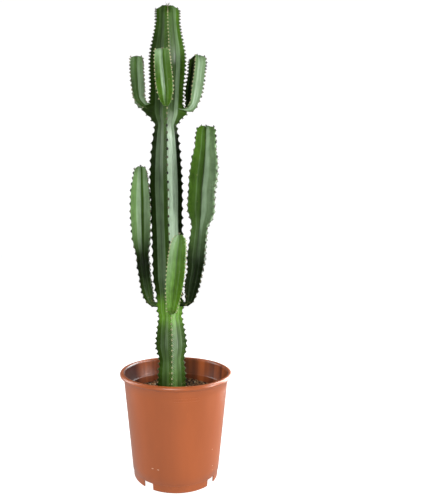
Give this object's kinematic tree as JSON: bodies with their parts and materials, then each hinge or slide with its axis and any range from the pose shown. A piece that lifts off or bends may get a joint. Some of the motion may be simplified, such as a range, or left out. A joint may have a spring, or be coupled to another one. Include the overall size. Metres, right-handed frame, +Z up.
{
  "type": "potted columnar succulent",
  "caption": "Tall ribbed columnar succulent with upright side arms, growing in soil in a round nursery pot with a rolled rim and drain notches.",
  "frame": {"origin": "centre of the pot on the surface that it stands on", "axes": "+Z up along the plant; the side with the front arms faces -Y; the tall lower right arm is on +X"},
  "size_m": [0.21, 0.21, 0.881],
  "materials": {
    "pot_plastic": "satin",
    "potting_soil": "matte",
    "old_skin": "satin",
    "young_skin": "satin"
  },
  "bodies": {
    "root": {"pot": "pot_plastic", "soil": "potting_soil", "main_stem": "old_skin", "lower_left_arm": "old_skin", "lower_right_arm": "old_skin", "lower_front_arm": "young_skin", "upper_left_arm": "young_skin", "upper_right_arm": "young_skin", "upper_front_arm": "young_skin"}
  },
  "joints": []
}
